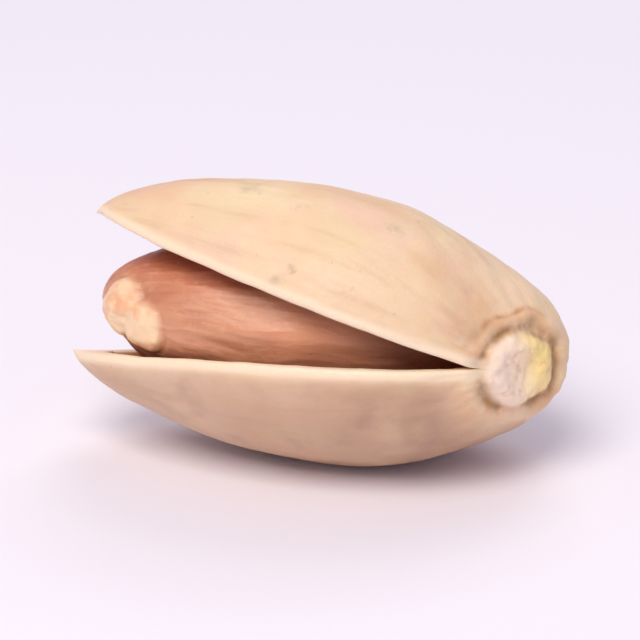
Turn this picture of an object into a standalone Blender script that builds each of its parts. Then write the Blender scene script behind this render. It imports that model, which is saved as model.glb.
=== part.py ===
"""A pistachio in its shell, split open and lying on the lower half of the shell.

The object has two pieces: the hard shell, whose two halves gape but stay grown together at the
stem end, and the loose kernel inside it. Everything is shaped in the nut's own frame first, with
the stem end at +X, the tip at -X and the seam in the plane Z = 0. The last step lays the nut down.
Units are metres, +Z is up, and the origin is on the ground under the middle of the nut.
"""

import math

import bmesh
import bpy
from mathutils import Matrix, Vector

# Shell, measured closed.
SHELL_LENGTH = 0.0222
SHELL_WIDTH = 0.0122
UPPER_DEPTH = 0.0052
LOWER_DEPTH = 0.0051
SIDE_WALL = 0.00078
TIP_WALL = 0.0018
STEM_WALL = 0.0022

# Where along the nut each outline is fullest (0 at the tip, 1 at the stem end), and how blunt it
# is on either side of that: a lower power is blunter.
WIDTH_FORM = {"fullest": 0.58, "tip_power": 0.48, "stem_power": 0.50}
UPPER_FORM = {"fullest": 0.60, "tip_power": 0.42, "stem_power": 0.43}
LOWER_FORM = {"fullest": 0.605, "tip_power": 0.48, "stem_power": 0.52}

# The stem scar: an oval pad on a flattened facet, on the -Y side of the stem end.
SCAR_TURN = math.radians(31)
SCAR_FACING = math.radians(42)
SCAR_HALF_LENGTH = 0.0021
SCAR_HALF_HEIGHT = 0.0016
SCAR_SINK = 0.00045
SCAR_SOFTNESS = 0.25
SCAR_PAD = 0.00022

# The split runs round the tip and stops at these shares of the length, in front and behind.
FRONT_SPLIT_END = 0.875
BACK_SPLIT_END = 0.79
UPPER_GAPE = math.radians(13.4)
LOWER_GAPE = math.radians(4.8)
HINGE_SPAN = 0.0018
HINGE_SPREAD = 1.2
LOWER_WARP = 0.12
WARP_REACH = 0.8

# Kernel, in its skin.
KERNEL_LENGTH = 0.0170
KERNEL_WIDTH = 0.0087
KERNEL_THICKNESS = 0.0074
KERNEL_FORM = {"fullest": 0.48, "tip_power": 0.54, "stem_power": 0.56}
KERNEL_CENTRE = Vector((-0.00145, 0.0, 0.0003))
KERNEL_RISE = math.radians(0.5)
KERNEL_KEEL = 0.00018
KEEL_BREADTH = 0.16

# How the nut lies: rolled so that the front edge of the split is the higher one, and pitched so
# that the edge of the lower half is nearly level. A thin slice off its belly is the resting spot.
ROLL = math.radians(-14)
PITCH = math.radians(4.4)
BELLY_SLICE = 0.0002

SHELL_SEGMENTS, SHELL_RINGS = 40, 34
KERNEL_SEGMENTS, KERNEL_RINGS = 28, 22

SHELL_COLOUR = (0.80, 0.62, 0.42, 1.0)
KERNEL_COLOUR = (0.42, 0.15, 0.08, 1.0)


def clear_scene():
    """Removes every object that is in the file."""
    for obj in list(bpy.data.objects):
        bpy.data.objects.remove(obj)


def new_collection(name):
    """A collection of this name in the scene."""
    collection = bpy.data.collections.new(name)
    bpy.context.scene.collection.children.link(collection)
    return collection


def ease(value):
    """A smooth step from 0 to 1 as value goes from 0 to 1."""
    value = min(max(value, 0.0), 1.0)
    return value * value * (3 - 2 * value)


def bulge(along, fullest, tip_power, stem_power):
    """The share of an outline's full size at this share of the length: 0 at both ends, 1 where fullest."""
    skew = math.log(0.5) / math.log(fullest)
    power = tip_power if along < fullest else stem_power
    return max(math.sin(math.pi * along**skew), 0.0) ** power


def turned(direction):
    """Slides a direction round so that the stem pole of the sphere's grid comes to the scar's place."""
    angle = -SCAR_TURN * ease((direction.x + 0.6) / 1.6)
    return Matrix.Rotation(angle, 3, "Z") @ direction


def gape(point, side):
    """Bends a point of the upper half (side 1) or lower half (side -1) open about the hinge.

    The hinge runs aslant through the nut, from the end of the split in front to its end behind. The
    lower half has also warped in drying: towards the tip, its back edge has sunk.
    """
    backwards = point.y / SHELL_WIDTH + 0.5
    hinge_along = FRONT_SPLIT_END + (BACK_SPLIT_END - FRONT_SPLIT_END) * backwards
    hinge_x = (hinge_along - 0.5) * SHELL_LENGTH
    spread = HINGE_SPREAD * abs(point.z)
    widest = UPPER_GAPE if side > 0 else LOWER_GAPE
    angle = side * widest * ease((hinge_x + spread / 3 - point.x) / (HINGE_SPAN + spread))
    hinge = Vector((hinge_x - HINGE_SPAN / 2, 0, 0))
    opened = Matrix.Rotation(angle, 3, "Y") @ (point - hinge) + hinge
    if side < 0:
        reach = ease((hinge_x - point.x) / (WARP_REACH * SHELL_LENGTH))
        opened.z -= LOWER_WARP * reach * (point.y + SHELL_WIDTH / 2)
    return opened


def egg_point(direction, wall):
    """Where a direction meets the closed nut's surface, or a surface this far inside it."""
    along = (1 + direction.x) / 2
    around = Vector((direction.y, direction.z))
    around = around.normalized() if around.length > 1e-6 else Vector((0, 0))
    deep, form = (UPPER_DEPTH, UPPER_FORM) if direction.z > 0 else (LOWER_DEPTH, LOWER_FORM)
    half_width = (SHELL_WIDTH / 2 - wall) * bulge(along, **WIDTH_FORM)
    half_depth = (deep - wall) * bulge(along, **form)
    x = (along - 0.5) * SHELL_LENGTH
    return Vector((x, half_width * around.x, half_depth * around.y))


def scarred(point):
    """Flattens the surface at the stem scar, and raises the scar's pad on the flat."""
    facing = Vector((math.cos(SCAR_FACING), -math.sin(SCAR_FACING), 0))
    offset = point - egg_point(turned(Vector((1, 0, 0))), 0.0)
    above = offset.dot(facing) + SCAR_SINK
    if above <= 0:
        return point
    lengthwise = offset.dot(Vector((-facing.y, facing.x, 0)))
    radius = math.hypot(lengthwise / SCAR_HALF_LENGTH, point.z / SCAR_HALF_HEIGHT)
    pad = SCAR_PAD * (1 - ease(radius**2))
    return point + facing * (pad - above * (1 - SCAR_SOFTNESS))


def shell_point(direction, side, inside):
    """Where a point of the unit sphere goes on the outer or inner face of the gaping shell."""
    direction = turned(direction)
    along = (1 + direction.x) / 2
    if inside:
        point = egg_point(direction, SIDE_WALL)
        point.x += TIP_WALL * (1 - along) ** 6 - STEM_WALL * along**8
    else:
        point = scarred(egg_point(direction, 0.0))
    return gape(point, side)


def on_split(edge):
    """Whether this edge of the unit sphere lies on the seam, and on the part of it that is split."""
    if any(abs(vert.co.z) > 1e-5 for vert in edge.verts):
        return False
    middle = (edge.verts[0].co + edge.verts[1].co) / 2
    split_end = FRONT_SPLIT_END if middle.y < 0 else BACK_SPLIT_END
    return (1 + turned(middle).x) / 2 < split_end


def half_of(vert):
    """1 on the upper half of the shell, -1 on the lower, 0 where the two are grown together."""
    heights = [face.calc_center_median().z for face in vert.link_faces]
    if min(heights) > 0:
        return 1
    return -1 if max(heights) < 0 else 0


def unit_sphere(segments, rings):
    """A sphere of radius 1 whose poles are on the X axis."""
    mesh = bmesh.new()
    poles_on_x = Matrix.Rotation(math.pi / 2, 4, "Y")
    bmesh.ops.create_uvsphere(
        mesh, u_segments=segments, v_segments=rings, radius=1.0, matrix=poles_on_x
    )
    return mesh


def gaping_surface(inside):
    """The outer or inner face of the shell: a sphere cut open along the split, then shaped."""
    mesh = unit_sphere(SHELL_SEGMENTS, SHELL_RINGS)
    bmesh.ops.split_edges(mesh, edges=[edge for edge in mesh.edges if on_split(edge)])
    sides = [half_of(vert) for vert in mesh.verts]
    for vert, side in zip(mesh.verts, sides):
        vert.co = shell_point(vert.co.copy(), side, inside)
    return mesh


def shell_mesh():
    """The shell as one closed body: its outer face, its lining and the rim of the split between them."""
    mesh = gaping_surface(inside=False)
    inner = gaping_surface(inside=True)
    bmesh.ops.reverse_faces(inner, faces=inner.faces[:])
    lining = bpy.data.meshes.new("lining")
    inner.to_mesh(lining)
    inner.free()
    mesh.from_mesh(lining)
    bpy.data.meshes.remove(lining)
    bmesh.ops.bridge_loops(mesh, edges=[edge for edge in mesh.edges if edge.is_boundary])
    bmesh.ops.recalc_face_normals(mesh, faces=mesh.faces[:])
    return mesh


def kernel_mesh():
    """The kernel: a blunt spindle with a low keel where its two seed leaves meet."""
    mesh = unit_sphere(KERNEL_SEGMENTS, KERNEL_RINGS)
    place = Matrix.Translation(KERNEL_CENTRE) @ Matrix.Rotation(KERNEL_RISE, 4, "Y")
    for vert in mesh.verts:
        along = (1 + vert.co.x) / 2
        around = Vector((vert.co.y, vert.co.z))
        around = around.normalized() if around.length > 1e-6 else Vector((0, 0))
        share = bulge(along, **KERNEL_FORM)
        keel = KERNEL_KEEL * share * math.exp(-((around.y / KEEL_BREADTH) ** 2))
        half_width = KERNEL_WIDTH / 2 * share + keel
        x = (along - 0.5) * KERNEL_LENGTH
        y = half_width * around.x
        z = KERNEL_THICKNESS / 2 * share * around.y
        vert.co = place @ Vector((x, y, z))
    return mesh


def laid_down(meshes):
    """Turns the meshes to how the nut lies, and sets them over the origin with the belly just under Z = 0."""
    turn = Matrix.Rotation(ROLL, 4, "X") @ Matrix.Rotation(PITCH, 4, "Y")
    for mesh in meshes:
        mesh.transform(turn)
    corners = [vert.co for mesh in meshes for vert in mesh.verts]
    lowest = Vector([min(co[axis] for co in corners) for axis in range(3)])
    highest = Vector([max(co[axis] for co in corners) for axis in range(3)])
    middle = (lowest + highest) / 2
    down = Vector((-middle.x, -middle.y, -lowest.z - BELLY_SLICE))
    for mesh in meshes:
        mesh.transform(Matrix.Translation(down))


def material(name, colour, roughness):
    """A plain dielectric finish."""
    finish = bpy.data.materials.new(name)
    finish.use_nodes = True
    shader = finish.node_tree.nodes["Principled BSDF"]
    shader.inputs["Base Color"].default_value = colour
    shader.inputs["Roughness"].default_value = roughness
    shader.inputs["Metallic"].default_value = 0.0
    return finish


def add_object(name, mesh, collection, finish=None):
    """Turns a finished bmesh into a smooth-shaded object."""
    data = bpy.data.meshes.new(name)
    mesh.to_mesh(data)
    mesh.free()
    data.shade_smooth()
    data.set_sharp_from_angle(angle=math.radians(50))
    if finish:
        data.materials.append(finish)
    obj = bpy.data.objects.new(name, data)
    collection.objects.link(obj)
    return obj


def slice_belly(shell, collection):
    """Cuts the shell off level at Z = 0, which leaves the small flat spot that it rests on."""
    slab = bmesh.new()
    bmesh.ops.create_cube(slab, size=2 * SHELL_LENGTH)
    slab.transform(Matrix.Translation((0, 0, -SHELL_LENGTH)))
    cutter = add_object("ground_cutter", slab, collection)
    cutter.hide_render = True
    cutter.display_type = "WIRE"
    cut = shell.modifiers.new("resting_spot", "BOOLEAN")
    cut.operation = "DIFFERENCE"
    cut.object = cutter


def main():
    clear_scene()
    parts = new_collection("pistachio_in_shell")
    cutters = new_collection("cutters")
    shell, kernel = shell_mesh(), kernel_mesh()
    laid_down([shell, kernel])
    shell_object = add_object("shell", shell, parts, material("shell_cream", SHELL_COLOUR, 0.6))
    add_object("kernel", kernel, parts, material("kernel_skin", KERNEL_COLOUR, 0.5))
    slice_belly(shell_object, cutters)


main()
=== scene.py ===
"""A pistachio in its shell: the finished surfaces of the nut, and the studio that it lies in.

The shell and the kernel are surfaces worked out over a grid of two angles, in the nut's own frame:
the stem end at +X, the tip at -X, the seam in the plane Z = 0, and the side with the stem scar at
-Y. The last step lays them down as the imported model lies. Sizes are in millimetres and angles in
degrees until a mesh is made, which is in metres.
"""

import itertools
import logging
import math
from collections.abc import Callable
from dataclasses import dataclass, field
from enum import Enum

import bmesh
import bpy
import numpy as np
from mathutils import Matrix, Vector


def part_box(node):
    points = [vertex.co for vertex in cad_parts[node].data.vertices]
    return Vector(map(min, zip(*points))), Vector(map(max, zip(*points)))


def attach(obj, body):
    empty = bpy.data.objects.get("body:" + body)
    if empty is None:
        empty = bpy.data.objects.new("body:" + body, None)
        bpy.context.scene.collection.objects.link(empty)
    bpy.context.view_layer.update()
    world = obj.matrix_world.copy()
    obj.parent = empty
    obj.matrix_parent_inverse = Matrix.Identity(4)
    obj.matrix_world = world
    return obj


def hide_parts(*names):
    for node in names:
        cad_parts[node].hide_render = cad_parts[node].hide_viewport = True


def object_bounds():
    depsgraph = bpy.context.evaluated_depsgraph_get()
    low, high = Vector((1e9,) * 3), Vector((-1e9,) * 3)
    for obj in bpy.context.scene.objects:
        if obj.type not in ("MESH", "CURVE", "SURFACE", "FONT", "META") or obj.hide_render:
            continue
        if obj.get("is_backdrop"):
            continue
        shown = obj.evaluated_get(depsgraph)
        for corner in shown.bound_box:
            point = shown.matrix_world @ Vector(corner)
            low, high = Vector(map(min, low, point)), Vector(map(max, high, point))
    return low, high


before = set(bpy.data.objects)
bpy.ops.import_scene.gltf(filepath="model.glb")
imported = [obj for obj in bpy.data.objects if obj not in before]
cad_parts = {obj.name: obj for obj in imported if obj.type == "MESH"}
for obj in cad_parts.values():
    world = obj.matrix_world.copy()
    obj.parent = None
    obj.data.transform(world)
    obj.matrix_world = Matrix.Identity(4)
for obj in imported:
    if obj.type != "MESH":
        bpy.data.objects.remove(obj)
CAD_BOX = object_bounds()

log = logging.getLogger("pistachio")

MM = 0.001
WELD = 5e-9  # points nearer than this, in metres, become one
NUDGE = 1e-4  # half of the angle across which a slope is measured
TINY = 1e-12  # keeps a divisor off 0
X_AXIS = np.array([1.0, 0.0, 0.0])
PATTERN_DETAIL = 3.0
# Where a colour Mix node has its sockets.
MIX_FACTOR, MIX_UNDER, MIX_OVER, MIX_COLOUR = 0, 6, 7, 2
Range = tuple[float, float]
Bell = tuple[float, float, float]
Values = dict[str, np.ndarray]
Setting = float | int | str | tuple[float, ...] | bpy.types.NodeSocket


def ease(value: np.ndarray) -> np.ndarray:
    """A smooth step: three times the square less twice the cube, of the value held to 0 to 1."""
    value = np.clip(value, 0.0, 1.0)
    return value * value * (3.0 - 2.0 * value)


def step(value: np.ndarray, start: float, end: float) -> np.ndarray:
    """A smooth step: 0 before the start and 1 past the end, which may be the lower of the two."""
    return ease((value - start) / (end - start))


def soft_positive(value: np.ndarray, softness: float) -> np.ndarray:
    """Half of the value and the root of its square plus the softness's square: it bends up from 0."""
    return 0.5 * (value + np.sqrt(value * value + softness * softness))


def hump(value: np.ndarray, middle: float, breadth: float, height: float = 1.0) -> np.ndarray:
    """A bell curve: the height times e to the minus square of the distance, counted in breadths."""
    return height * np.exp(-(((value - middle) / breadth) ** 2))


def turn(about: str, degrees: float) -> np.ndarray:
    """A rotation matrix about one axis."""
    return np.array(Matrix.Rotation(math.radians(degrees), 3, about))


def unit(vectors: np.ndarray) -> np.ndarray:
    """The vectors, each divided by its length."""
    return vectors / np.maximum(np.linalg.norm(vectors, axis=-1, keepdims=True), TINY)


def grain_at(theta: np.ndarray, phi: np.ndarray, power: float, stretch: float) -> np.ndarray:
    """A place on a cylinder round the nut, long in theta: patterns read there run as fibres do.

    It is the sine of theta to a low power, times the cosine and sine of phi, with theta stretched.
    """
    spread = np.maximum(np.sin(theta), 0.0) ** power
    return np.stack((spread * np.cos(phi), spread * np.sin(phi), stretch * theta), axis=-1)


def outward(
    surface: Callable[..., np.ndarray],
    theta: np.ndarray,
    phi: np.ndarray,
    poles: tuple[np.ndarray, np.ndarray],
    cap: float,
) -> np.ndarray:
    """A surface's outward normals, from the cross product of its two slopes.

    The slopes vanish at the grid's poles, so there the normal eases to the pole's own.

    Args:
        surface: gives the points at the two angles.
        theta: the angle round from the first pole to the second.
        phi: the angle round the long axis.
        poles: the normals at the two poles.
        cap: the angle from a pole where the easing starts.

    Returns:
        The unit normals.
    """
    along = surface(theta + NUDGE, phi) - surface(theta - NUDGE, phi)
    across = surface(theta, phi + NUDGE) - surface(theta, phi - NUDGE)
    normals = unit(np.cross(along, across))
    for away, pole in zip((theta, np.pi - theta), poles):
        near = step(away, cap, 0.0)[..., None]
        normals = unit(normals * (1 - near) + pole * near)
    return normals


class Noise:
    """Smooth random unevenness in space, between about -1 and 1, the same for the same seed.

    Each corner of a lattice of unit cells has a random direction. The value at a point is the mix
    of its cell's eight corners, each giving the offset from the corner times its direction.
    """

    CELLS = 32
    GAIN = 1.6
    LAYER_SHIFT = 7.7

    def __init__(self, seed: int) -> None:
        """Draws the lattice's random directions.

        Args:
            seed: which random pattern this is.
        """
        draw = np.random.default_rng(seed)
        self.directions = unit(draw.normal(size=(self.CELLS, self.CELLS, self.CELLS, 3)))

    def at(self, places: np.ndarray, layers: int = 1) -> np.ndarray:
        """The unevenness at some places.

        Args:
            places: an array of points, with cells one unit apart.
            layers: how many patterns are added, each half the size and height of the last.

        Returns:
            One value for each point.
        """
        total = np.zeros(places.shape[:-1])
        for layer in range(layers):
            finer = places * 2.0**layer + self.LAYER_SHIFT * layer
            cell = np.floor(finer).astype(int)
            inside = finer - cell
            weight = inside**3 * (inside * (inside * 6.0 - 15.0) + 10.0)
            for corner in itertools.product((0, 1), repeat=3):
                here = (cell + corner) % self.CELLS
                direction = self.directions[here[..., 0], here[..., 1], here[..., 2]]
                share = np.prod(np.where(corner, weight, 1.0 - weight), axis=-1)
                slope = np.sum(direction * (inside - corner), axis=-1)
                total += self.GAIN * 0.5**layer * share * slope
        return total


class Half(Enum):
    """Which half of the shell: the number says which way it opens."""

    UPPER = 1
    LOWER = -1


@dataclass(frozen=True)
class Outline:
    """How the nut swells and tapers from its tip to its stem end.

    The share of the full size is the sine of half a turn over the skewed length, raised to a power:
    0 at both ends and 1 where it is fullest. A lower power makes a blunter end.
    """

    fullest: float
    tip_power: float
    stem_power: float

    def share(self, along: np.ndarray) -> np.ndarray:
        """The share of the full size at each share of the length, with 0 at the tip."""
        skew = math.log(0.5) / math.log(self.fullest)
        power = np.where(along < self.fullest, self.tip_power, self.stem_power)
        return np.maximum(np.sin(np.pi * np.clip(along, 0.0, 1.0) ** skew), 0.0) ** power


@dataclass
class Lay:
    """How the nut lies on its lower half: rolled, pitched, then set down in the model's frame."""

    roll: float = -14.0
    pitch: float = 4.4
    belly_softness: float = 0.06
    shift: np.ndarray = field(default_factory=lambda: np.zeros(3))

    def turned(self, points: np.ndarray) -> np.ndarray:
        """Points of the nut's own frame, turned to how the nut lies."""
        return points @ (turn("X", self.roll) @ turn("Y", self.pitch)).T

    def settle(self, outside: np.ndarray, node: str) -> None:
        """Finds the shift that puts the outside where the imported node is: same middle, same top.

        Args:
            outside: points of the shell's smooth outside, in the nut's own frame.
            node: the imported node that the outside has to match.
        """
        lowest, highest = (np.array(corner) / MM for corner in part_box(node))
        placed = self.turned(outside).reshape(-1, 3)
        low, high = placed.min(axis=0), placed.max(axis=0)
        middle = (lowest + highest) / 2 - (low + high) / 2
        self.shift = np.array([middle[0], middle[1], highest[2] - high[2]])

    def down(self, points: np.ndarray) -> np.ndarray:
        """Lays points down, and flattens softly whatever would reach below the ground."""
        placed = self.turned(points) + self.shift
        placed[..., 2] = soft_positive(placed[..., 2], self.belly_softness)
        return placed


def add_object(name: str, data: bpy.types.ID) -> bpy.types.Object:
    """A new object with this data, in the scene."""
    obj = bpy.data.objects.new(name, data)
    bpy.context.scene.collection.objects.link(obj)
    return obj


class Surface:
    """Gathers grids of points, welds them, and makes one smooth closed piece."""

    def __init__(self, name: str) -> None:
        """Starts an empty surface.

        Args:
            name: what the finished object is called.
        """
        self.name = name
        self.points: list[np.ndarray] = []
        self.quads: list[np.ndarray] = []
        self.values: dict[str, list[np.ndarray]] = {}
        self.count = 0

    def add_grid(self, points: np.ndarray, values: Values, inward: bool = False) -> None:
        """Adds a grid of points, joined into four-sided faces.

        Args:
            points: rows by columns of points. Rows run from the stem end to the tip.
            values: what each point carries for the material, by name.
            inward: whether the faces look into the nut.
        """
        rows, columns = points.shape[:2]
        index = self.count + np.arange(rows * columns).reshape(rows, columns)
        quads = np.stack((index[:-1, :-1], index[1:, :-1], index[1:, 1:], index[:-1, 1:]), axis=-1)
        self.quads.append((quads[..., ::-1] if inward else quads).reshape(-1, 4))
        self.points.append(points.reshape(-1, 3))
        for name, value in values.items():
            whole = np.broadcast_to(value, (rows, columns) + value.shape[2:])
            self.values.setdefault(name, []).append(whole.reshape(rows * columns, -1))
        self.count += rows * columns

    def build(self, material: bpy.types.Material) -> bpy.types.Object:
        """Makes the object.

        Args:
            material: its finish.

        Returns:
            The object, at the origin, with its values as point attributes.
        """
        mesh = bpy.data.meshes.new(self.name)
        places = np.concatenate(self.points) * MM
        mesh.from_pydata(places.tolist(), [], np.concatenate(self.quads).tolist())
        for name, parts in self.values.items():
            column = np.concatenate(parts)
            is_vector = column.shape[1] == 3
            attribute = mesh.attributes.new(name, "FLOAT_VECTOR" if is_vector else "FLOAT", "POINT")
            flat = column.ravel().astype(np.float32)
            attribute.data.foreach_set("vector" if is_vector else "value", flat)
        shape = bmesh.new()
        shape.from_mesh(mesh)
        bmesh.ops.remove_doubles(shape, verts=shape.verts[:], dist=WELD)
        bmesh.ops.recalc_face_normals(shape, faces=shape.faces[:])
        shape.to_mesh(mesh)
        shape.free()
        mesh.shade_smooth()
        mesh.materials.append(material)
        return add_object(self.name, mesh)


@dataclass
class Nutshell:
    """The hard shell: two halves that gape, grown together at the stem end.

    Its surface is worked out for a nut that is still closed, from the angle theta round from the
    stem scar to the tip and the angle phi round the long axis, and is then bent open. Phi is 0 at
    the seam behind, a quarter turn on top, half a turn at the seam in front.
    """

    length: float = 22.2
    width: float = 12.2
    depths: dict[Half, float] = field(default_factory=lambda: {Half.UPPER: 5.2, Half.LOWER: 5.1})
    plan: Outline = Outline(0.58, 0.48, 0.50)
    profiles: dict[Half, Outline] = field(
        default_factory=lambda: {
            Half.UPPER: Outline(0.60, 0.42, 0.43),
            Half.LOWER: Outline(0.605, 0.48, 0.52),
        }
    )
    side_wall: float = 0.78
    tip_wall: float = 1.8
    stem_wall: float = 2.2

    scar_turn: float = 31.0
    scar_facing: float = 42.0
    scar_half_length: float = 2.1
    scar_half_height: float = 1.6
    scar_sink: float = 0.45
    scar_softness: float = 0.25
    scar_bend: float = 0.16
    scar_waver: float = 0.14
    waver_rate: float = 1.3
    scar_edge: Range = (1.0, 1.5)
    pad_height: float = 0.22
    dimple: tuple[Bell, Bell] = ((0.15, 0.3, 0.24), (-0.05, 0.4, 1.0))
    lump_height: float = 0.13
    lump_size: float = 0.8
    crumb_height: float = 0.06
    crumb_size: float = 0.33
    ring: Bell = (0.7, 0.22, 0.15)
    border: Bell = (1.12, 0.12, 0.13)
    collar: Bell = (1.42, 0.2, 0.12)
    ring_tilt: Range = (-0.55, 0.35)
    ring_least: float = 0.2
    border_waver: float = 0.8
    pleats: float = 0.7
    crease_depth: float = 0.055
    crease_radius: float = 1.55
    crease_breadth: float = 0.08
    crease_waver: float = 0.12
    crease_ends: tuple[Range, Range] = ((0.9, 0.3), (0.2, 0.8))

    scar_mask: Range = (1.06, 0.9)
    scar_right_mask: Range = (-0.35, 0.65)
    border_mask: Range = (1.13, 0.13)
    collar_mask: Range = (2.1, 1.2)
    painted_shade_underside_mask: Range = (0.0, -1.2)
    # painted shade: the underside, below the seam and off the scar, is tinted tanner
    off_scar_mask: Range = (1.3, 2.5)
    # painted shade: darker still towards the stem end of the underside
    painted_shade_heel_mask: Range = (-1.0, 5.0)
    split_mask: Range = (0.0, -0.8)
    edge_mask: Range = (0.3, 0.22)
    rim_mask: Range = (1.0, 0.85)
    lining_mask: Range = (0.8, 1.0)

    front_split_end: float = 0.875
    back_split_end: float = 0.79
    gapes: dict[Half, float] = field(default_factory=lambda: {Half.UPPER: 13.4, Half.LOWER: 4.8})
    hinge_span: float = 1.8
    hinge_spread: float = 1.2
    lower_warp: float = 0.12
    warp_reach: float = 0.8

    rim_round: float = 0.34
    rim_reach: float = 0.6
    rim_flatness: float = 0.5
    rim_fade: float = 1.6

    grain_power: float = 0.35
    grain_stretch: float = 0.2
    rib_height: float = 0.055
    rib_rate: float = 6.0
    rib_least: float = 0.35
    rib_reach: float = 1.1
    hill_height: float = 0.06
    hill_size: float = 3.4
    ripple_height: float = 0.022
    ripple_size: float = 1.1
    dent_depth: float = 0.09
    dent_size: float = 1.9
    dent_levels: Range = (0.5, 0.9)
    relief_fade: float = 0.35
    seam_wave: float = 0.05
    wave_length: float = 3.1
    wave_breadth: float = 1.1
    wave_sides: Range = (0.4, 1.9)
    groove: Bell = (0.0, 0.16, 0.07)
    groove_start: Range = (1.2, 2.4)
    groove_off_scar: Range = (1.1, 1.6)

    pole_cap: float = 0.05
    crowding: float = 0.55
    row_spread: float = 0.25
    rows: int = 240
    outer_columns: int = 112
    inner_columns: int = 44
    rim_columns: int = 9
    outline_grid: tuple[int, int] = (90, 60)

    def __post_init__(self) -> None:
        """Draws the random patterns, and finds the two ends of the split."""
        self.ribs, self.hills, self.lumps, self.waves = (Noise(seed) for seed in (3, 11, 29, 41))
        share = np.linspace(0.0, 1.0, self.rows)
        self.theta = np.pi * ((1 - self.row_spread) * share + self.row_spread * share * share)
        front = (1 + self.direction(self.theta, np.full(self.rows, np.pi))[..., 0]) / 2
        back = (1 + self.direction(self.theta, np.zeros(self.rows))[..., 0]) / 2
        turning = int(np.argmax(back))
        self.front_row = int(np.argmax(front < self.front_split_end))
        self.back_row = turning + int(np.argmax(back[turning:] < self.back_split_end))
        self.front_hinge = self.smooth(self.theta[self.front_row], np.array(np.pi), Half.UPPER)
        self.back_hinge = self.smooth(self.theta[self.back_row], np.array(0.0), Half.UPPER)

    def direction(self, theta: np.ndarray, phi: np.ndarray) -> np.ndarray:
        """The direction from the nut's middle: that of the two angles on a sphere, turned about Z.

        The turn is the scar's, eased to nothing towards the tip, so the grid's first pole is the scar.
        """
        x, y = np.cos(theta), np.sin(theta) * np.cos(phi)
        angle = -math.radians(self.scar_turn) * step(x, -0.6, 1.0)
        turned_x = x * np.cos(angle) - y * np.sin(angle)
        turned_y = x * np.sin(angle) + y * np.cos(angle)
        return np.stack((turned_x, turned_y, np.sin(theta) * np.sin(phi)), axis=-1)

    def egg(self, theta: np.ndarray, phi: np.ndarray, half: Half, wall: float) -> np.ndarray:
        """The closed nut's surface, or a surface inside it.

        Along the nut, the direction's X gives the share of the length. Across it, the section is an
        ellipse whose half width and half depth are the sizes less the wall, times their outlines.
        """
        toward = self.direction(theta, phi)
        along = (1 + toward[..., 0]) / 2
        around = unit(toward[..., 1:])
        half_width = (self.width / 2 - wall) * self.plan.share(along)
        half_depth = (self.depths[half] - wall) * self.profiles[half].share(along)
        x = (along - 0.5) * self.length
        return np.stack((x, half_width * around[..., 0], half_depth * around[..., 1]), axis=-1)

    def lining(self, theta: np.ndarray, phi: np.ndarray, half: Half) -> np.ndarray:
        """The inner face: the egg inside the side wall, drawn in further at the tip and stem end."""
        along = (1 + self.direction(theta, phi)[..., 0]) / 2
        points = self.egg(theta, phi, half, self.side_wall)
        points[..., 0] += self.tip_wall * (1 - along) ** 6 - self.stem_wall * along**8
        return points

    @property
    def facing(self) -> np.ndarray:
        """The direction that the stem scar looks in."""
        angle = math.radians(self.scar_facing)
        return np.array([math.cos(angle), -math.sin(angle), 0.0])

    def scar_place(self, points: np.ndarray) -> tuple[np.ndarray, np.ndarray, np.ndarray]:
        """Where points are against the stem scar.

        Args:
            points: points on or near the nut's outside.

        Returns:
            The distance along the scar and up it, each as a share of its half size, and the height
            over the flattened facet in millimetres.
        """
        offset = points - self.egg(np.array(0.0), np.array(0.0), Half.UPPER, 0.0)
        along = offset @ np.array([-self.facing[1], self.facing[0], 0.0]) / self.scar_half_length
        return along, offset[..., 2] / self.scar_half_height, offset @ self.facing + self.scar_sink

    def smooth(self, theta: np.ndarray, phi: np.ndarray, half: Half) -> np.ndarray:
        """The smooth outside: the egg, pressed nearly flat where it stands over the scar's facet."""
        points = self.egg(theta, phi, half, 0.0)
        above = soft_positive(self.scar_place(points)[2], self.scar_bend)
        return points - (above * (1 - self.scar_softness))[..., None] * self.facing

    def normals(self, theta: np.ndarray, phi: np.ndarray, half: Half) -> np.ndarray:
        """The smooth outside's outward normals."""
        poles = (self.facing, -X_AXIS)
        return outward(lambda *angles: self.smooth(*angles, half), theta, phi, poles, self.pole_cap)

    def grain(self, theta: np.ndarray, phi: np.ndarray) -> np.ndarray:
        """The place that the shell's fibres are read at."""
        return grain_at(theta, phi, self.grain_power, self.grain_stretch)

    def scar_radius(self, points: np.ndarray) -> np.ndarray:
        """How far out from the scar's middle points are, 1 at its wavering edge.

        It grows by 4 between 2 and 4 mm below the facet, so the nut's other side is never near it.
        """
        along, up, above = self.scar_place(points)
        place = np.stack((along, up, 0.0 * up), axis=-1)
        waver = self.lumps.at(place * self.waver_rate)
        out = np.hypot(along, up) * (1 + self.scar_waver * waver)
        return out + 4.0 * step(above, -2.0, -4.0)

    def relief(self, theta: np.ndarray, phi: np.ndarray, points: np.ndarray) -> np.ndarray:
        """How far the real outside stands over the smooth one, in millimetres.

        It is the sum of fibre ribs, which fade from the stem end to the tip, of low hills, ripples
        and small dents, of the groove of the grown-together seam, and of the stem scar.
        """
        radius = self.scar_radius(points)
        off_scar = step(radius, *self.scar_edge)
        grain = self.grain(theta, phi)
        rib = self.ribs.at(grain * self.rib_rate, layers=2)
        ribs = self.rib_height * rib * (self.rib_least + hump(theta, 0.0, self.rib_reach))
        hills = self.hill_height * self.hills.at(points / self.hill_size)
        hills += self.ripple_height * self.hills.at(points / self.ripple_size + 5.0, layers=2)
        lumps = self.lumps.at(points / self.dent_size + 3.0)
        dents = -self.dent_depth * step(lumps, *self.dent_levels)
        height = (ribs + hills + dents) * off_scar * ease((np.pi - theta) / self.relief_fade)
        grown = step(points[..., 0] - self.back_hinge[0], *self.groove_start)
        height -= hump(points[..., 2], *self.groove) * step(radius, *self.groove_off_scar) * grown
        return height + self.scar_relief(points, radius, grain)

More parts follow.
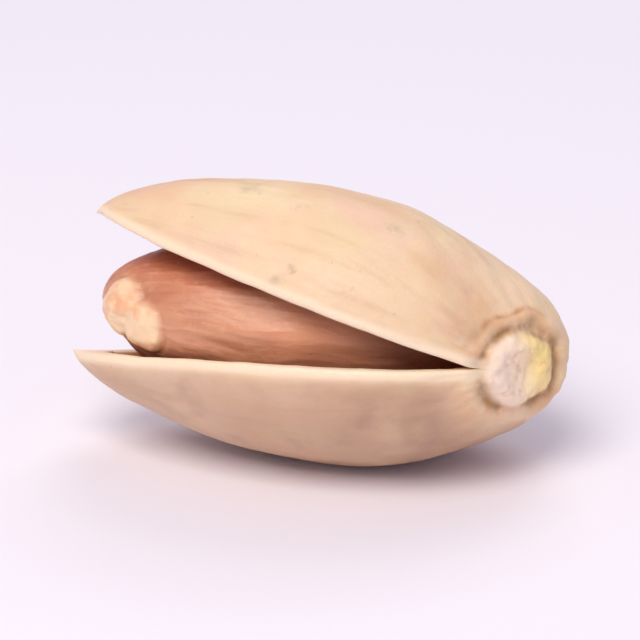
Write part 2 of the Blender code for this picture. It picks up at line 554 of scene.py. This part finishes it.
    def scar_relief(self, points: np.ndarray, radius: np.ndarray, grain: np.ndarray) -> np.ndarray:
        """How far the stem scar stands over the smooth outside.

        It is a pad with a raised ring, which is higher on its upper left, a dimple, lumps and
        crumbs. A border groove and a pleated collar go round it, and a crease crosses the collar.
        """
        along, up, _ = self.scar_place(points)
        on_scar = 1 - step(radius, *self.scar_edge)
        pad = self.pad_height * (1 - ease(radius**2))
        tilt = self.ring_tilt[0] * along + self.ring_tilt[1] * up
        ring = hump(radius, *self.ring) * np.clip(1 + tilt, self.ring_least, 2.0)
        dimple = hump(along, *self.dimple[0]) * hump(up, *self.dimple[1])
        lumps = self.lump_height * self.lumps.at(points / self.lump_size) * on_scar
        crumbs = self.crumb_height * self.hills.at(points / self.crumb_size) * on_scar
        border = hump(radius, *self.border) * (1 + self.border_waver * self.waves.at(points / 0.9))
        collar = hump(radius, *self.collar) * (1 + self.pleats * self.ribs.at(grain * 5.0 + 2.0))
        crease = self.crease_depth * self.scar_crease(points, radius)
        return pad + ring - dimple + lumps + crumbs - border + collar - crease

    def scar_crease(self, points: np.ndarray, radius: np.ndarray) -> np.ndarray:
        """The crease over the scar's upper left: a narrow bell round a wavering arc, with eased ends."""
        along, up, _ = self.scar_place(points)
        arc = self.crease_radius + self.crease_waver * self.waves.at(points / 1.4)
        over = step(along, *self.crease_ends[0]) * step(up, *self.crease_ends[1])
        deep = 0.6 + 0.6 * self.waves.at(points / 0.7 + 4.0)
        return hump(radius, arc, self.crease_breadth) * over * deep

    def seam_rise(self, points: np.ndarray) -> np.ndarray:
        """How far the seam strays up or down, in millimetres: both halves stray alike, so they fit."""
        x, y, z = np.moveaxis(points, -1, 0)
        along = np.stack((x / self.wave_length, np.sign(y) * 2.0, 0.0 * x), axis=-1)
        stray = self.waves.at(along, layers=3) * self.seam_wave
        return stray * hump(z, 0.0, self.wave_breadth) * step(np.abs(y), *self.wave_sides)

    def opened(self, points: np.ndarray, outside: np.ndarray, half: Half) -> np.ndarray:
        """Bends one half open.

        The hinge runs aslant through the nut, on the line through both ends of the split. A point
        turns about it by the half's gape times a smooth step, whose length grows with the height
        over the seam. The lower half has warped too: towards the tip it sinks by a share of the
        distance from its front edge.

        Args:
            points: what to bend.
            outside: the smooth outside at the same two angles, which sets the turn.
            half: which half it is.

        Returns:
            The bent points.
        """
        slope = (self.back_hinge[0] - self.front_hinge[0]) / (self.back_hinge[1] - self.front_hinge[1])
        hinge = self.front_hinge[0] + slope * (outside[..., 1] - self.front_hinge[1])
        spread = self.hinge_spread * np.abs(outside[..., 2])
        bend = ease((hinge + spread / 3 - outside[..., 0]) / (self.hinge_span + spread))
        angle = half.value * math.radians(self.gapes[half]) * bend
        pivot = hinge - self.hinge_span / 2
        x, z = points[..., 0] - pivot, points[..., 2]
        opened_x = pivot + x * np.cos(angle) + z * np.sin(angle)
        opened_z = z * np.cos(angle) - x * np.sin(angle)
        if half is Half.LOWER:
            reach = ease((hinge - outside[..., 0]) / (self.warp_reach * self.length))
            opened_z = opened_z - self.lower_warp * reach * (points[..., 1] + self.width / 2)
        return np.stack((opened_x, points[..., 1], opened_z), axis=-1)

    def wall(
        self, theta: np.ndarray, phi: np.ndarray, depth: np.ndarray, half: Half
    ) -> tuple[np.ndarray, Values]:
        """Points in the wall of the gaping shell, and what they carry for the material.

        Args:
            theta: the angle round from the scar.
            phi: the angle round the long axis.
            depth: 0 on the outside and 1 on the lining.
            half: which half it is.

        Returns:
            The points, in the nut's own frame, and their values by name: the grain, in metres round
            the nut, and masks that are 1 on each part of the shell.
        """
        outside = self.smooth(theta, phi, half)
        relief = self.relief(theta, phi, outside)
        outer = outside + relief[..., None] * self.normals(theta, phi, half)
        inner = self.lining(theta, phi, half)
        points = outer + (inner - outer) * depth[..., None]
        points[..., 2] += self.seam_rise(outside)
        x, y, z = np.moveaxis(outside, -1, 0)
        radius = self.scar_radius(outside)
        along, up, _ = self.scar_place(outside)
        scar = step(radius, *self.scar_mask)
        # Painted shade: the underside below the seam, off the scar, is tinted tanner and darker.
        painted_shade_underside = step(z, *self.painted_shade_underside_mask) * step(radius, *self.off_scar_mask)
        split = step(x - np.where(y < 0, self.front_hinge[0], self.back_hinge[0]), *self.split_mask)
        edge = hump(np.maximum(np.abs(z), self.edge_mask[0]), *self.edge_mask)
        values = {
            "grain": self.grain(theta, phi) * self.width / 2 * MM,
            "scar": scar,
            "scar_right": scar * step(along + 0.25 * up, *self.scar_right_mask),
            "border": hump(radius, *self.border_mask) * (1 - depth),
            "collar": step(radius, *self.collar_mask),
            "crease": self.scar_crease(outside, radius) * (1 - depth),
            "painted_shade_underside": painted_shade_underside,
            # painted shade: the underside, and more of it towards the stem end
            "painted_shade_heel": painted_shade_underside * step(x, *self.painted_shade_heel_mask),
            "rim": split * edge * step(depth, *self.rim_mask),
            "lining": step(depth, *self.lining_mask),
        }
        return self.opened(points, outside, half), values

    def rim_angle(self, front: bool, half: Half) -> np.ndarray:
        """How far in phi the rounding of the rim reaches, for each row.

        It is the angle whose sine is the rounding over the half depth, and fades at the split's end.
        """
        end_row = self.front_row if front else self.back_row
        phi = np.full(self.rows, np.pi if front else 0.0)
        seam = self.egg(self.theta, phi, half, 0.0)
        along = seam[..., 0] / self.length + 0.5
        half_depth = self.depths[half] * self.profiles[half].share(along)
        fade = ease((seam[end_row, 0] - seam[..., 0]) / self.rim_fade)
        reach = np.minimum(self.rim_round * fade / np.maximum(half_depth, TINY), self.rim_reach)
        reach[: end_row + 1] = 0.0
        return np.arcsin(reach)

    def outline(self) -> np.ndarray:
        """Points of the smooth outside of both gaping halves, in the nut's own frame."""
        theta = np.linspace(0.0, np.pi, self.outline_grid[0])[:, None]
        phi = np.linspace(0.0, np.pi, self.outline_grid[1])[None, :]
        halves = []
        for half in Half:
            around = phi + 0.0 * theta + (0.0 if half is Half.UPPER else np.pi)
            outside = self.smooth(theta + 0.0 * phi, around, half)
            halves.append(self.opened(outside, outside, half))
        return np.concatenate(halves)

    def build(self, lay: Lay, material: bpy.types.Material) -> bpy.types.Object:
        """Makes the shell: for each half its outside, its lining and the rim of the split.

        Args:
            lay: how the nut lies.
            material: its finish.

        Returns:
            The shell's object.
        """
        surface = Surface("nutshell")
        theta = self.theta[:, None]
        for half in Half:
            start = 0.0 if half is Half.UPPER else np.pi
            front, back = self.rim_angle(True, half)[:, None], self.rim_angle(False, half)[:, None]
            first, last = (back, front) if half is Half.UPPER else (front, back)
            for columns, depth in ((self.outer_columns, 0.0), (self.inner_columns, 1.0)):
                even = np.linspace(0.0, 1.0, columns)[None, :]
                crowded = (1 - np.cos(np.pi * even)) / 2
                across = (1 - self.crowding) * even + self.crowding * crowded
                phi = start + first + across * (np.pi - first - last)
                depths = np.full_like(phi, depth)
                points, values = self.wall(theta + 0.0 * phi, phi, depths, half)
                surface.add_grid(lay.down(points), values, inward=depth > 0)
            self.add_rim(surface, lay, half, front=True)
            self.add_rim(surface, lay, half, front=False)
        return surface.build(material)

    def add_rim(self, surface: Surface, lay: Lay, half: Half, front: bool) -> None:
        """Adds the rim along one side of the split, from the outside over to the lining.

        Over half a turn tau, the depth is half of 1 less its cosine, and the angle from the seam is
        the reach times 1 less a low power of its sine: a flat rim with rounded corners.

        Args:
            surface: what to add it to.
            lay: how the nut lies.
            half: which half it is.
            front: whether it is the side in front.
        """
        behind = 0.0 if half is Half.UPPER else 2 * np.pi
        seam, way = (np.pi, -half.value) if front else (behind, half.value)
        end_row = self.front_row if front else self.back_row
        reach = self.rim_angle(front, half)[end_row:, None]
        tau = np.linspace(0.0, np.pi, self.rim_columns)[None, :]
        depth = (1 - np.cos(tau)) / 2 + 0.0 * reach
        flat = np.maximum(np.sin(tau), 0.0) ** self.rim_flatness
        phi = seam + way * reach * (1 - flat)
        points, values = self.wall(self.theta[end_row:, None] + 0.0 * phi, phi, depth, half)
        surface.add_grid(lay.down(points), values)


@dataclass
class Kernel:
    """The kernel in its papery skin: a blunt spindle, wrinkled along, with the skin rubbed off one end.

    Its middle line is the nut's, raised a little at the tip. Theta runs from the stem end to the
    tip, and phi round from behind over the top.
    """

    length: float = 17.0
    width: float = 8.7
    thickness: float = 7.4
    outline: Outline = Outline(0.48, 0.54, 0.56)
    centre: tuple[float, float, float] = (-1.45, 0.0, 0.3)
    rise: float = 0.5
    keel: Bell = (0.0, 0.16, 0.18)

    grain_power: float = 0.5
    grain_stretch: float = 0.22
    grain_bend: float = 0.14
    bend_size: float = 4.0
    wrinkle_height: float = 0.085
    wrinkle_rate: float = 2.8
    wrinkle_slope: float = 1.9
    fine_rate: float = 10.0
    fine_slope: float = 2.0
    fine_share: float = 0.25
    crest_level: float = 0.8
    end_share: float = 0.3
    end_reach: Range = (0.0, 0.5)
    hill_height: float = 0.16
    hill_size: float = 2.8

    lobes: tuple[tuple[float, ...], ...] = ((-7.4, -1.9, 0.05, 1.45), (-6.2, -2.7, -0.75, 1.3))
    lobe_height: float = 0.3
    lobe_reach: Range = (0.0, 0.85)
    tear_waver: float = 0.24
    tear_size: float = 1.3
    torn_edge: Bell = (-0.02, 0.1, 0.05)
    flesh_height: float = 0.11
    flesh_size: float = 0.8
    flesh_smoothness: float = 0.85

    # painted shade: darker in the wrinkle furrows
    painted_furrow_shade_mask: Range = (0.5, 0.0)
    # painted highlight on the wrinkle crests, partly worn skin
    ridge_highlight_mask: Range = (0.7, 0.98)
    # red-brown over the top towards the tip: partly the skin's own red, partly painted shade from the shell's
    # rim
    red_top_and_painted_shade_masks: tuple[Range, Range] = ((2.0, -3.0), (0.6, 2.4))
    # painted light: the kernel is lighter towards the stem end, where the shell's rim shades it
    painted_light_stem_end_mask: Range = (-1.5, 3.0)
    bare_mask: Range = (-0.04, 0.3)

    pole_cap: float = 0.06
    rows: int = 210
    columns: int = 230

    def __post_init__(self) -> None:
        """Draws the random patterns."""
        self.wrinkles, self.hills, self.tears = (Noise(seed) for seed in (53, 61, 71))

    def spindle(self, theta: np.ndarray, phi: np.ndarray) -> np.ndarray:
        """The smooth kernel: an ellipse across, with a narrow bell added to its width at the keel."""
        along = (1 + np.cos(theta)) / 2
        share = self.outline.share(along)
        half_width = share * (self.width / 2 + hump(np.sin(phi), *self.keel))
        x = (along - 0.5) * self.length
        return np.stack((x, half_width * np.cos(phi), self.thickness / 2 * share * np.sin(phi)), axis=-1)

    def normals(self, theta: np.ndarray, phi: np.ndarray) -> np.ndarray:
        """The spindle's outward normals."""
        return outward(self.spindle, theta, phi, (X_AXIS, -X_AXIS), self.pole_cap)

    def bareness(self, points: np.ndarray) -> np.ndarray:
        """How deep points lie in the bare patch: 1 less the distance from a lobe's centre, in radii."""
        waver = self.tear_waver * self.tears.at(points / self.tear_size, layers=2)
        lobes = [1 - np.linalg.norm(points - centre, axis=-1) / radius for *centre, radius in self.lobes]
        return np.maximum.reduce(lobes) + waver

    def build(self, lay: Lay, material: bpy.types.Material) -> bpy.types.Object:
        """Makes the kernel.

        The skin stands over the spindle by long ridged wrinkles, 1 less the size of a noise that is
        stretched along the kernel, by finer ones between them, and by low hills. Where it is rubbed
        off, the flesh stands out in lobes inside a torn edge.

        Args:
            lay: how the nut lies.
            material: its finish.

        Returns:
            The kernel's object.
        """
        theta = np.linspace(0.0, np.pi, self.rows)[:, None]
        phi = np.linspace(0.0, 2 * np.pi, self.columns)[None, :]
        theta, phi = theta + 0.0 * phi, phi + 0.0 * theta
        points = self.spindle(theta, phi)
        x, z = points[..., 0], points[..., 2]
        swing = self.grain_bend * self.hills.at(points / self.bend_size + 9.0)
        bent = phi + swing * np.maximum(np.sin(theta), 0.0) ** self.grain_power
        grain = grain_at(theta, bent, self.grain_power, self.grain_stretch)
        ridge = 1 - self.wrinkle_slope * np.abs(self.wrinkles.at(grain * self.wrinkle_rate))
        fine = 1 - self.fine_slope * np.abs(self.wrinkles.at(grain * self.fine_rate + 4.0, layers=2))
        crest = ridge * (1 - self.fine_share) + fine * self.fine_share
        bareness = self.bareness(points)
        bare = step(bareness, *self.bare_mask)
        values = {
            "grain": grain * self.width / 2 * MM,
            # painted shade in the wrinkle furrows
            "painted_furrow_shade": step(crest, *self.painted_furrow_shade_mask),
            # painted highlight on the wrinkle crests, partly worn skin
            "ridge": step(crest, *self.ridge_highlight_mask),
            # partly the skin's own red, partly painted shade under the shell's upper rim
            "red_top_and_painted_shade": step(x, *self.red_top_and_painted_shade_masks[0]) * step(z, *self.red_top_and_painted_shade_masks[1]),
            # painted light towards the stem end
            "painted_light_stem_end": step(x, *self.painted_light_stem_end_mask),
            "bare": bare,
        }
        share = self.end_share + (1 - self.end_share) * step(np.sin(theta), *self.end_reach)
        skin = self.wrinkle_height * (crest - self.crest_level) * share
        skin += self.hill_height * self.hills.at(points / self.hill_size)
        flesh = self.flesh_height * bare * self.tears.at(points / self.flesh_size, layers=2)
        flesh += self.lobe_height * np.sqrt(step(bareness, *self.lobe_reach))
        height = skin * (1 - self.flesh_smoothness * bare) + flesh - hump(bareness, *self.torn_edge)
        points = points + height[..., None] * self.normals(theta, phi)
        points = points @ turn("Y", self.rise).T + np.array(self.centre)
        surface = Surface("kernel_in_skin")
        surface.add_grid(lay.down(points), values)
        return surface.build(material)


def linear(hex_colour: str) -> tuple[float, float, float, float]:
    """An sRGB hex colour as linear red, green, blue and alpha."""
    parts = [int(hex_colour[start : start + 2], 16) / 255 for start in (1, 3, 5)]
    return tuple(p / 12.92 if p <= 0.04045 else ((p + 0.055) / 1.055) ** 2.4 for p in parts) + (1.0,)


def per_metre(size: float) -> float:
    """A noise scale on coordinates in metres, for blotches of this size in millimetres."""
    return 1 / (size * MM)


def add_node(
    tree: bpy.types.NodeTree,
    kind: str,
    output: int | str | None,
    inputs: dict[int | str, Setting] | None = None,
    **options: float | int | str | bool,
) -> bpy.types.NodeSocket | None:
    """Adds a node with its settings and links.

    Args:
        tree: the material's or the world's node tree.
        kind: Blender's name for the node's type, without its usual beginning.
        output: which of its outputs is wanted, or None where it has none.
        inputs: its inputs' values, or the sockets that they are linked to.
        options: its other settings.

    Returns:
        The output socket, or None.
    """
    node = tree.nodes.new("ShaderNode" + kind)
    for name, value in options.items():
        setattr(node, name, value)
    for name, value in (inputs or {}).items():
        if isinstance(value, bpy.types.NodeSocket):
            tree.links.new(value, node.inputs[name])
        else:
            node.inputs[name].default_value = value
    return None if output is None else node.outputs[output]


def empty_tree(owner: bpy.types.Material | bpy.types.World) -> bpy.types.NodeTree:
    """The emptied node tree of a material or a world."""
    owner.use_nodes = True
    owner.node_tree.nodes.clear()
    return owner.node_tree


@dataclass(frozen=True)
class Layer:
    """A colour laid over those below it in soft patches.

    A patch is where a noise with blotches of this size, in millimetres, rises from its low level to
    its high one. The first levels leave no gaps.
    """

    colour: str
    size: float = 1.0
    seed: float = 0.0
    low: float = 0.0
    high: float = 0.1
    strength: float = 1.0
    within: str = ""
    fibrous: bool = False


def paint(tree: bpy.types.NodeTree, ground: str, layers: tuple[Layer, ...]) -> bpy.types.NodeSocket:
    """Lays colours one over another.

    Args:
        tree: the material's node tree.
        ground: the colour below them all.
        layers: the layers from the lowest up. One that is within a point attribute shows only
            there, and a fibrous one is read along the grain.

    Returns:
        The finished colour.
    """
    body = add_node(tree, "TexCoord", "Object")
    grain = add_node(tree, "Attribute", "Vector", attribute_name="grain")
    colour = linear(ground)
    for layer in layers:
        read = grain if layer.fibrous else body
        blotches = {"Vector": read, "Scale": per_metre(layer.size), "Detail": PATTERN_DETAIL, "W": layer.seed}
        noise = add_node(tree, "TexNoise", "Fac", blotches, noise_dimensions="4D")
        levels = {"Value": noise, "From Min": layer.low, "From Max": layer.high, "To Max": layer.strength}
        mask = add_node(tree, "MapRange", "Result", levels, interpolation_type="SMOOTHSTEP")
        if layer.within:
            inside = add_node(tree, "Attribute", "Fac", attribute_name=layer.within)
            mask = add_node(tree, "Math", "Value", {0: mask, 1: inside}, operation="MULTIPLY")
        mix = {MIX_FACTOR: mask, MIX_UNDER: colour, MIX_OVER: linear(layer.colour)}
        colour = add_node(tree, "Mix", MIX_COLOUR, mix, data_type="RGBA")
    return colour


@dataclass(frozen=True)
class DriedSurface:
    """A dried plant surface: layers of colour, long fibres, fuzz, and a glow from below the skin.

    Fibres, fuzz and pores are finer on a real nut: they are drawn as coarse as they need to show.
    """

    name: str
    ground: str
    fibre_size: float = 0.85
    fibre_detail: float = 5.0
    fuzz_size: float = 0.16
    fuzz_share: float = 0.5
    relief: float = 0.05
    relief_strength: float = 0.8
    dullest: float = 0.56
    glossiest: float = 0.38
    refraction: float = 1.48
    glow: float = 0.18
    glow_depth: float = 0.7
    glow_spread: tuple[float, float, float] = (1.0, 0.55, 0.3)
    coat: float = 0.0
    coat_roughness: float = 0.35

    def build(self) -> bpy.types.Material:
        """Makes the material, with its layers in the order in which they are written."""
        material = bpy.data.materials.new(self.name)
        tree = empty_tree(material)
        layers = tuple(value for value in vars(self).values() if isinstance(value, Layer))
        body = add_node(tree, "TexCoord", "Object")
        grain = add_node(tree, "Attribute", "Vector", attribute_name="grain")
        waves = {"Vector": grain, "Scale": per_metre(self.fibre_size), "Detail": self.fibre_detail}
        fibres = add_node(tree, "TexNoise", "Fac", waves)
        fuzz = add_node(tree, "TexNoise", "Fac", {"Vector": body, "Scale": per_metre(self.fuzz_size)})
        uneven = {0: fuzz, 1: self.fuzz_share, 2: fibres}
        height = add_node(tree, "Math", "Value", uneven, operation="MULTIPLY_ADD")
        bump = {"Height": height, "Distance": self.relief * MM, "Strength": self.relief_strength}
        dullness = {"Value": fuzz, "To Min": self.glossiest, "To Max": self.dullest}
        skin = {
            "Base Color": paint(tree, self.ground, layers),
            "Roughness": add_node(tree, "MapRange", "Result", dullness),
            "Normal": add_node(tree, "Bump", "Normal", bump),
            "IOR": self.refraction,
            "Subsurface Weight": self.glow,
            "Subsurface Radius": self.glow_spread,
            "Subsurface Scale": self.glow_depth * MM,
            "Coat Weight": self.coat,
            "Coat Roughness": self.coat_roughness,
        }
        shader = add_node(tree, "BsdfPrincipled", "BSDF", skin)
        add_node(tree, "OutputMaterial", None, {"Surface": shader})
        return material


@dataclass(frozen=True)
class SunDriedShell(DriedSurface):
    """Woody nutshell, dried in the sun and rubbed in the sack.

    It gives the eye a smooth, satiny cream with soft blotches of sand and pink, faint fibre streaks
    from stem to tip, a few grey smudges, pores, a paler rim and a warm lining. Painted shade tints
    the underside tanner, darker still towards the stem end, and the underside is mottled.
    The stem scar is pale pink on one side and straw yellow on the other, in a brown border.
    """

    name: str = "sun_dried_woody_nutshell"
    ground: str = "#F0D3AE"

    sand: Layer = Layer("#E6C096", size=5.5, low=0.42, high=0.64)
    blush: Layer = Layer("#EBC5AC", size=3.6, seed=3.0, low=0.48, high=0.68, strength=0.55)
    straw: Layer = Layer("#EAD6A6", size=3.6, seed=9.0, low=0.48, high=0.68, strength=0.6)
    # Painted shade on the underside; the mottle within it is the shell's own uneven tone.
    painted_shade_underside: Layer = Layer("#C59E88", size=4.0, seed=12.0, low=0.1, high=0.5, strength=0.55, within="painted_shade_underside")
    # Painted shade, darker towards the stem end of the underside.
    painted_shade_heel: Layer = Layer("#B2866C", size=2.6, seed=18.0, low=0.2, high=0.6, strength=0.6, within="painted_shade_heel")
    mottle: Layer = Layer("#B38C79", size=2.2, seed=15.0, low=0.5, high=0.72, strength=0.5, within="painted_shade_underside")
    streak: Layer = Layer("#C99F78", size=0.85, low=0.5, high=0.74, strength=0.3, fibrous=True)
    smudge: Layer = Layer("#A0957A", size=2.4, seed=5.0, low=0.62, high=0.76, strength=0.5)
    speck: Layer = Layer("#8F8260", size=0.9, seed=7.0, low=0.68, high=0.78, strength=0.35)
    pore: Layer = Layer("#A98358", size=0.42, seed=1.0, low=0.66, high=0.78, strength=0.3)
    flush: Layer = Layer("#E3AE7E", size=1.2, seed=4.0, low=0.35, high=0.6, strength=0.6, within="collar")
    crease: Layer = Layer("#B9783F", strength=0.7, within="crease")
    scar_pale: Layer = Layer("#FFE6CE", within="scar")
    scar_straw: Layer = Layer("#FFE394", size=1.3, seed=11.0, low=0.2, high=0.5, within="scar_right")
    scar_shade: Layer = Layer("#D9B48C", size=0.7, seed=6.0, low=0.52, high=0.68, strength=0.6, within="scar")
    border: Layer = Layer("#A67B48", size=1.1, seed=8.0, low=0.3, high=0.56, strength=0.9, within="border")
    rim: Layer = Layer("#FFE8C9", strength=0.9, within="rim")
    lining: Layer = Layer("#D6A172", within="lining")
    deep_lining: Layer = Layer("#A9683A", size=2.4, seed=2.0, low=0.4, high=0.6, within="lining")


@dataclass(frozen=True)
class DriedSeedSkin(DriedSurface):
    """The kernel's papery seed coat, dried onto it.

    It gives the eye a low sheen on a wrinkled tan skin, red-brown over its top towards the tip, partly
    its own red and partly painted shade under the shell's rim, with painted shade in the furrows, a
    painted highlight on the ridges that is partly worn skin, painted light towards the stem end,
    purple stains, and waxy cream where the coat has rubbed off.
    """

    name: str = "dried_papery_seed_coat"
    ground: str = "#D69872"
    fibre_size: float = 0.36
    fibre_detail: float = 2.0
    fuzz_size: float = 0.25
    fuzz_share: float = 0.6
    dullest: float = 0.5
    glossiest: float = 0.3
    refraction: float = 1.46
    glow: float = 0.12
    glow_depth: float = 0.6
    glow_spread: tuple[float, float, float] = (1.0, 0.4, 0.25)
    coat: float = 0.2

    brown: Layer = Layer("#CB8662", size=4.5, low=0.42, high=0.62, strength=0.8)
    stain: Layer = Layer("#A3604F", size=4.5, seed=7.0, low=0.54, high=0.7, strength=0.5)
    # Red-brown top: partly the skin's own red, partly painted shade under the shell's rim.
    red_top_and_painted_shade: Layer = Layer("#C2674A", size=3.0, seed=4.0, low=0.1, high=0.45, strength=0.8, within="red_top_and_painted_shade")
    # Painted shade in the wrinkle furrows.
    painted_furrow_shade: Layer = Layer("#B0634A", strength=0.4, within="painted_furrow_shade")
    # Painted highlight on the wrinkle crests, partly worn skin.
    ridge: Layer = Layer("#F0B48F", strength=0.35, within="ridge")
    # Painted light towards the stem end, where the shell's rim shades the kernel.
    painted_light_stem_end: Layer = Layer("#F3A87F", size=3.0, seed=9.0, low=0.1, high=0.5, strength=0.8, within="painted_light_stem_end")
    vein: Layer = Layer("#9C5A48", size=0.36, seed=3.0, low=0.5, high=0.72, strength=0.18, fibrous=True)
    fleck: Layer = Layer("#F3C3A0", size=0.5, seed=2.0, low=0.56, high=0.76, strength=0.25)
    bare: Layer = Layer("#FAD9AF", within="bare")
    bare_tan: Layer = Layer("#F0AE80", size=0.9, seed=3.0, low=0.44, high=0.64, strength=0.75, within="bare")


@dataclass(frozen=True)
class SeamlessPaper:
    """Matt studio paper: an even, faintly lavender white that takes soft shadows."""

    white: str = "#F1EEF5"
    roughness: float = 0.85
    tooth_size: float = 0.8
    tooth_height: float = 0.01
    tooth_strength: float = 0.3

    def build(self) -> bpy.types.Material:
        """Makes the material."""
        material = bpy.data.materials.new("matt_seamless_paper")
        tree = empty_tree(material)
        body = add_node(tree, "TexCoord", "Object")
        tooth = add_node(tree, "TexNoise", "Fac", {"Vector": body, "Scale": per_metre(self.tooth_size)})
        bump = {"Height": tooth, "Distance": self.tooth_height * MM, "Strength": self.tooth_strength}
        sheet = {
            "Base Color": linear(self.white),
            "Roughness": self.roughness,
            "Normal": add_node(tree, "Bump", "Normal", bump),
        }
        shader = add_node(tree, "BsdfPrincipled", "BSDF", sheet)
        add_node(tree, "OutputMaterial", None, {"Surface": shader})
        return material


@dataclass(frozen=True)
class Softbox:
    """A square soft light that looks at the nut, in metres and watts."""

    name: str
    place: tuple[float, float, float]
    power: float
    tint: str
    size: float = 0.2

    def hang(self) -> None:
        """Hangs the light."""
        lamp = bpy.data.lights.new(self.name, "AREA")
        lamp.shape = "SQUARE"
        lamp.size = self.size
        lamp.energy = self.power
        lamp.color = linear(self.tint)[:3]
        light = add_object(self.name, lamp)
        light.location = self.place
        light.rotation_euler = (-Vector(self.place)).to_track_quat("-Z", "Y").to_euler()


@dataclass
class Studio:
    """The paper floor, the soft lights and the camera, in metres."""

    floor_size: float = 4.0
    sky: str = "#E3DDF3"
    sky_strength: float = 0.52
    softboxes: tuple[Softbox, ...] = (
        Softbox("key_softbox", (-0.05, -0.17, 0.27), power=0.75, tint="#FFF7EE"),
        Softbox("rear_softbox", (0.03, 0.24, 0.26), power=0.30, tint="#FFFFFF"),
    )
    azimuth: float = 8.0
    elevation: float = 22.0
    lens: float = 220.0
    sensor: float = 36.0
    view_width: float = 0.0285
    clip: Range = (0.005, 20.0)

    def lay_floor(self) -> None:
        """Lays the paper floor under the nut."""
        half = self.floor_size / 2
        corners = [(x, y, 0.0) for x, y in ((-half, -half), (half, -half), (half, half), (-half, half))]
        mesh = bpy.data.meshes.new("paper_floor")
        mesh.from_pydata(corners, [], [(0, 1, 2, 3)])
        mesh.materials.append(SeamlessPaper().build())
        floor = add_object("paper_floor", mesh)
        floor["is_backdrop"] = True

    def light(self) -> None:
        """Lights the nut from high on the front left, less from behind, and from a pale sky."""
        for softbox in self.softboxes:
            softbox.hang()
        world = bpy.data.worlds.new("pale_room")
        tree = empty_tree(world)
        glow = {"Color": linear(self.sky), "Strength": self.sky_strength}
        sky = add_node(tree, "Background", "Background", glow)
        add_node(tree, "OutputWorld", None, {"Surface": sky})
        bpy.context.scene.world = world
        bpy.context.scene.view_settings.view_transform = "Standard"

    def set_camera(self) -> None:
        """Sets the camera on a long lens, looking down a little at the nut's middle."""
        low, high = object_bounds()
        turned, raised = math.radians(self.azimuth), math.radians(self.elevation)
        level = math.cos(raised)
        back = Vector((math.sin(turned) * level, -math.cos(turned) * level, math.sin(raised)))
        data = bpy.data.cameras.new("camera")
        data.lens = self.lens
        data.sensor_width = self.sensor
        data.clip_start, data.clip_end = self.clip
        camera = add_object("camera", data)
        camera.location = (low + high) / 2 + back * (self.view_width * self.lens / self.sensor)
        camera.rotation_euler = (-back).to_track_quat("-Z", "Y").to_euler()
        bpy.context.scene.camera = camera


def place_piece(piece: bpy.types.Object, node: str) -> None:
    """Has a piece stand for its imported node.

    Args:
        piece: the finished piece.
        node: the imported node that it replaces.
    """
    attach(piece, "root")
    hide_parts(node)
    log.info("%s: %d faces, stands for %s", piece.name, len(piece.data.polygons), node)


def write_sizes() -> None:
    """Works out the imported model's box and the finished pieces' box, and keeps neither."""
    boxes = {"cad": CAD_BOX, "visual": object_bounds()}
    {name: [list(corner) for corner in box] for name, box in boxes.items()}


def main() -> None:
    """Builds the nut and the studio."""
    logging.basicConfig(level=logging.INFO, format="%(message)s")
    shell, kernel, lay, studio = Nutshell(), Kernel(), Lay(), Studio()
    lay.settle(shell.outline(), "shell")
    place_piece(shell.build(lay, SunDriedShell().build()), "shell")
    place_piece(kernel.build(lay, DriedSeedSkin().build()), "kernel")
    studio.lay_floor()
    studio.light()
    studio.set_camera()
    write_sizes()


if __name__ == "__main__":
    main()
